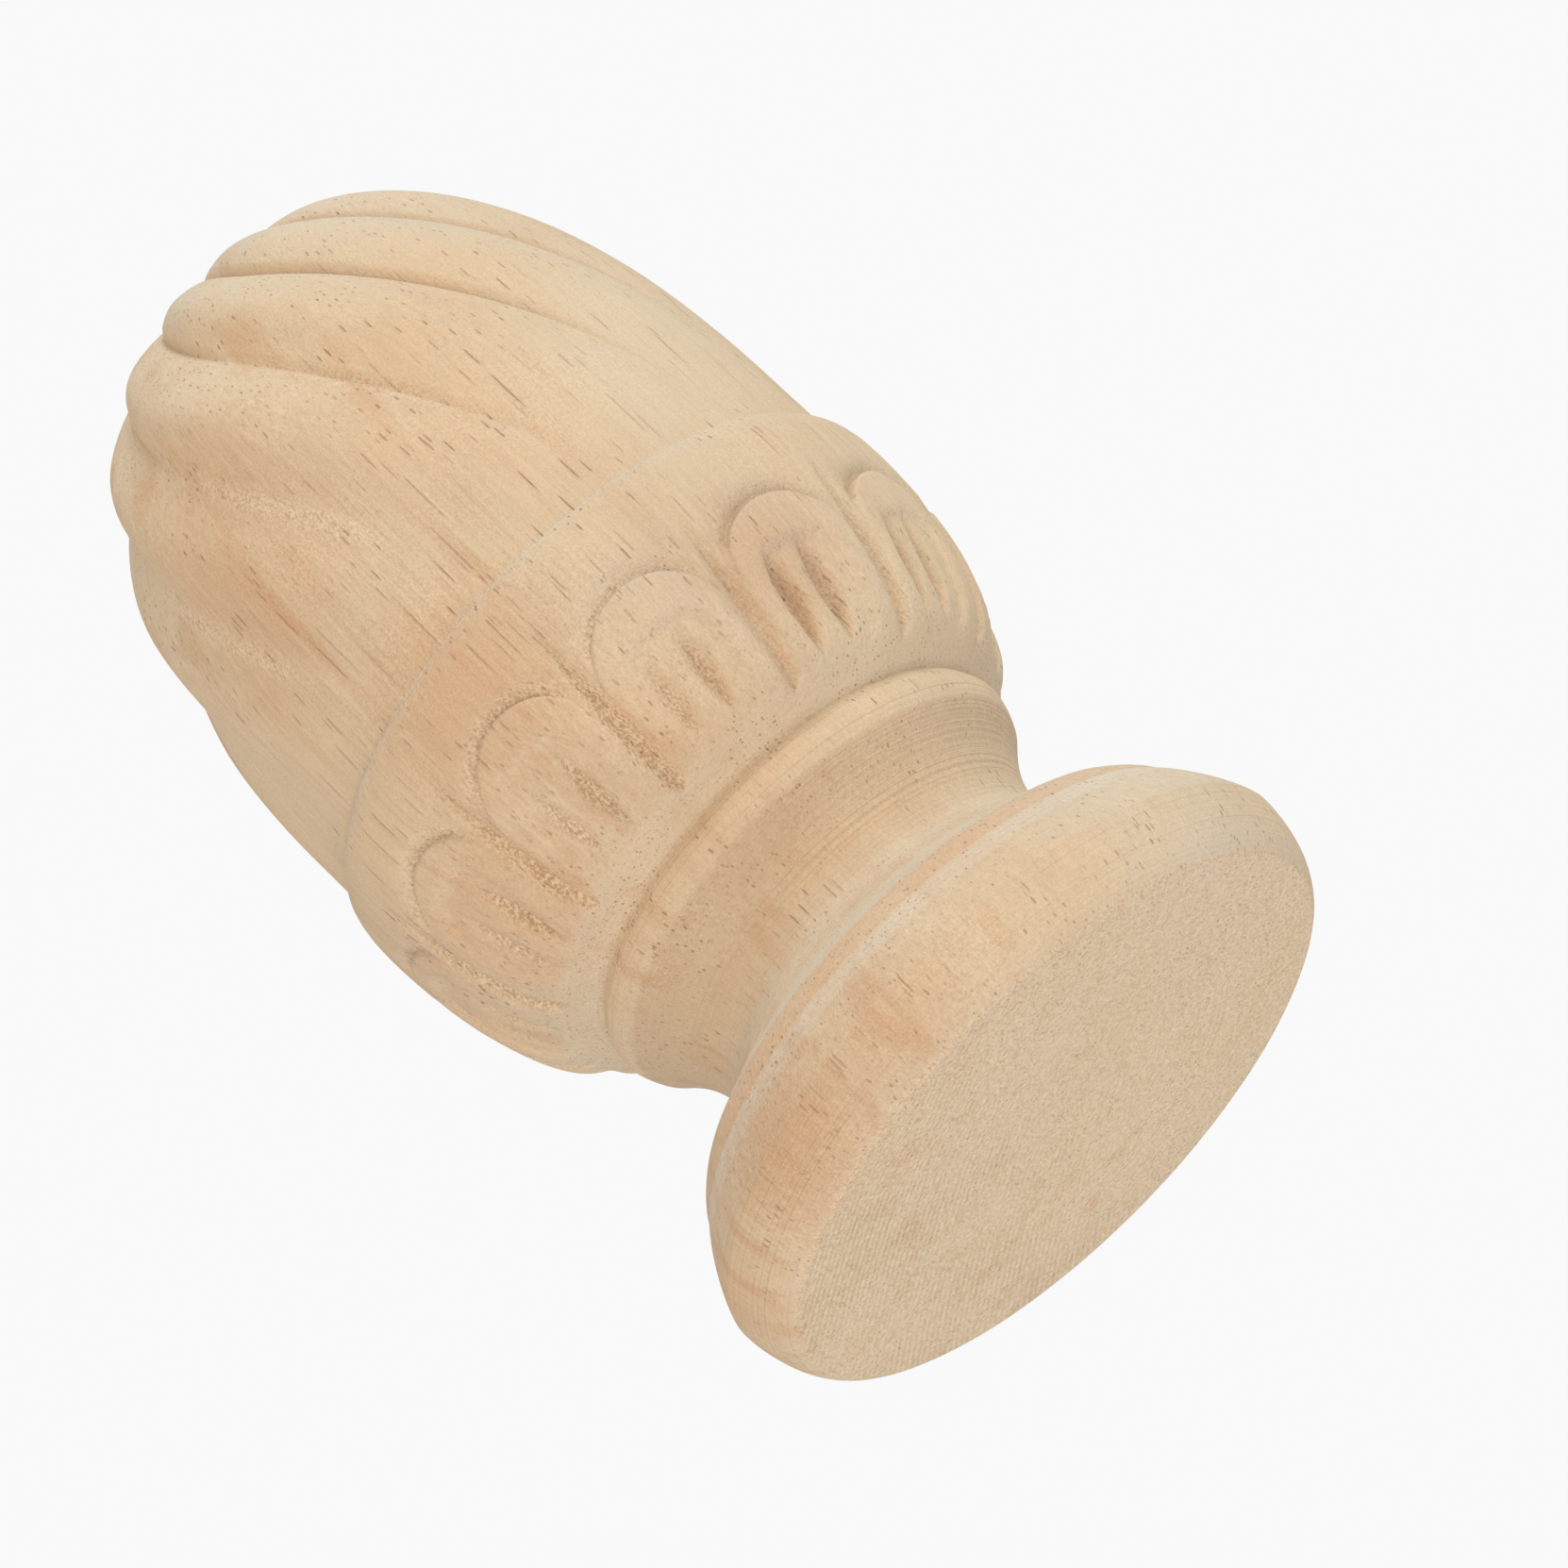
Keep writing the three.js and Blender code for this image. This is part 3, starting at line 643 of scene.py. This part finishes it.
    # loose fibres: a fine pale and dark speckle, strong where the cutter tore the grain
    speckle = mixed(grain("speckle"), grain("sand"), under)
    tornGrain = grain("tornGrain")
    rough = most(torn * (1 - layer("cleanSide", x)),
                 most(layer("fuzz", grain("fuzz")), under * wood["underRoughShare"]))
    speckleShare = wood["speckleShare"] + rough * wood["speckleTornShare"]
    colour = blended(layer("paleSpeckle", speckle) * speckleShare, colour, wood["fibre"])
    colour = blended(layer("darkSpeckle", speckle) * speckleShare, colour, wood["orange"])
    colour = blended(layer("paleTorn", tornGrain) * rough, colour, wood["fibre"])
    colour = blended(layer("darkTorn", tornGrain) * rough, colour, wood["baredGrainAndShade"])

    # turning marks up to the cup's foot, saw marks on part of the underside
    fromAxis = length(vectorMaths("MULTIPLY", place, (1.0, 1.0, 0.0)))
    turned = bench.node("ShaderNodeCombineXYZ", None,
                        {0: fromAxis / (wood["latheStep"] * 2), 1: 0.0, 2: z / wood["latheStep"]})
    lathe = noise(turned, *wood["latheNoise"]) * (1 - layer("latheEnd", z))
    sawn = length(vectorMaths("SUBTRACT", place, wood["sawCentre"])) / wood["sawStep"]
    saw = sine(sawn * 2) * under * (1 - layer("sawEnd", x))

    relief = (speckle * woodRelief["speckle"] + tornGrain * rough * woodRelief["tornGrain"]
              - vessels * woodRelief["vessels"] + streaks * woodRelief["streaks"]
              + lathe * woodRelief["lathe"] + saw * layer("sawPatches", patches))
    bump = bench.node("ShaderNodeBump", None,
                      {"Strength": 1.0, "Distance": wood["bumpDepth"], "Height": relief})
    shader = bench.node("ShaderNodeBsdfPrincipled", None,
                        {"Base Color": colour, "Roughness": wood["roughness"] + rough * wood["tornRoughness"],
                         "Specular IOR Level": wood["specular"], "Normal": bump})
    bench.node("ShaderNodeOutputMaterial", None, {"Surface": shader})
    return material


def makeFinial():
    piece = plainMesh("carvedFinial", finialTree(woodMaterial()), finial)
    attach(piece, "root")
    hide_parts("finial")
    piece.data.calc_loop_triangles()
    print("finial:", len(piece.data.vertices), "points,", len(piece.data.loop_triangles), "triangles")


makeFinial()

# Camera: below the floor and looking up, as the photograph does, and rolled over to the left
camera = {
    "place": (0.0, -0.9157, -0.3491), "aim": (0.00531, 0.0, 0.050255), "roll": 45.94,
    "frame": 1662, "focalPixels": 9724.44, "sensor": 36.0, "near": 0.01, "far": 20.0,
}


def makeCamera():
    data = bpy.data.cameras.new("camera")
    data.sensor_width = camera["sensor"]
    data.lens = camera["sensor"] * camera["focalPixels"] / camera["frame"]
    data.clip_start, data.clip_end = camera["near"], camera["far"]
    eye = bpy.data.objects.new("camera", data)
    scene.collection.objects.link(eye)
    forward = (Vector(camera["aim"]) - Vector(camera["place"])).normalized()
    right = forward.cross(Vector((0, 0, 1))).normalized()
    above = right.cross(forward)
    turn = math.radians(camera["roll"])
    rolledRight = right * math.cos(turn) - above * math.sin(turn)
    rolledUp = right * math.sin(turn) + above * math.cos(turn)
    turned = Matrix((rolledRight, rolledUp, -forward)).transposed()
    eye.matrix_world = Matrix.Translation(camera["place"]) @ turned.to_4x4()
    scene.camera = eye
    print("camera: lens", round(data.lens, 2))


makeCamera()

# Studio: a pale floor seen from above only, and wide suns. Each sun has the direction to it, its power,
# the angle it fills and its colour. The world is as bright as the photograph's backdrop to the camera
# and dimmer to the rest.
studio = {
    "backdrop": linear(249, 249, 249), "floorColour": (0.96, 0.93, 0.9, 1.0), "floorSize": 12.0,
    "ambient": 0.63,
    "lights": [
        ("key", (0.74, -0.42, 0.56), 1.12, 24.0, (0.87, 0.955, 1.0)),
        ("fill", (-0.3, -0.9, -0.3), 0.68, 50.0, (1.0, 0.83, 0.66)),
        ("lift", (-0.2, -0.25, -1.0), 0.74, 70.0, (0.97, 0.98, 1.0)),
        ("top", (0.4, -0.2, 0.9), 0.34, 60.0, (0.8, 0.92, 1.0)),
    ],
}


def makeStudio():
    world = bpy.data.worlds.new("studio")
    scene.world = world
    bench = emptied(world)
    seen = bench.node("ShaderNodeLightPath", out="Is Camera Ray")
    strength = mixed(studio["ambient"], 1.0, seen)
    shown = bench.node("ShaderNodeBackground", None, {"Color": studio["backdrop"], "Strength": strength})
    bench.node("ShaderNodeOutputWorld", None, {"Surface": shown})

    for name, toLight, power, spread, colour in studio["lights"]:
        data = bpy.data.lights.new(name, "SUN")
        data.energy, data.angle, data.color = power, math.radians(spread), colour
        lamp = bpy.data.objects.new(name, data)
        scene.collection.objects.link(lamp)
        lamp.rotation_mode = "QUATERNION"
        lamp.rotation_quaternion = Vector(toLight).to_track_quat("Z", "Y")

    half = studio["floorSize"] / 2
    corners = [(-half, -half, 0), (half, -half, 0), (half, half, 0), (-half, half, 0)]
    mesh = bpy.data.meshes.new("floor")
    mesh.from_pydata(corners, [], [(0, 1, 2, 3)])
    floor = bpy.data.objects.new("floor", mesh)
    scene.collection.objects.link(floor)
    material = bpy.data.materials.new("paleFloor")
    bench = emptied(material)
    below = bench.node("ShaderNodeNewGeometry", out="Backfacing")
    matt = bench.node("ShaderNodeBsdfDiffuse", None, {"Color": studio["floorColour"]})
    clear = bench.node("ShaderNodeBsdfTransparent")
    shown = bench.node("ShaderNodeMixShader", None, {0: below, 1: matt, 2: clear})
    bench.node("ShaderNodeOutputMaterial", None, {"Surface": shown})
    mesh.materials.append(material)
    floor.visible_shadow = False
    floor.visible_diffuse = False
    floor.visible_glossy = False
    print("studio: world, floor and", len(studio["lights"]), "lights")


makeStudio()
scene.view_settings.view_transform = "Standard"
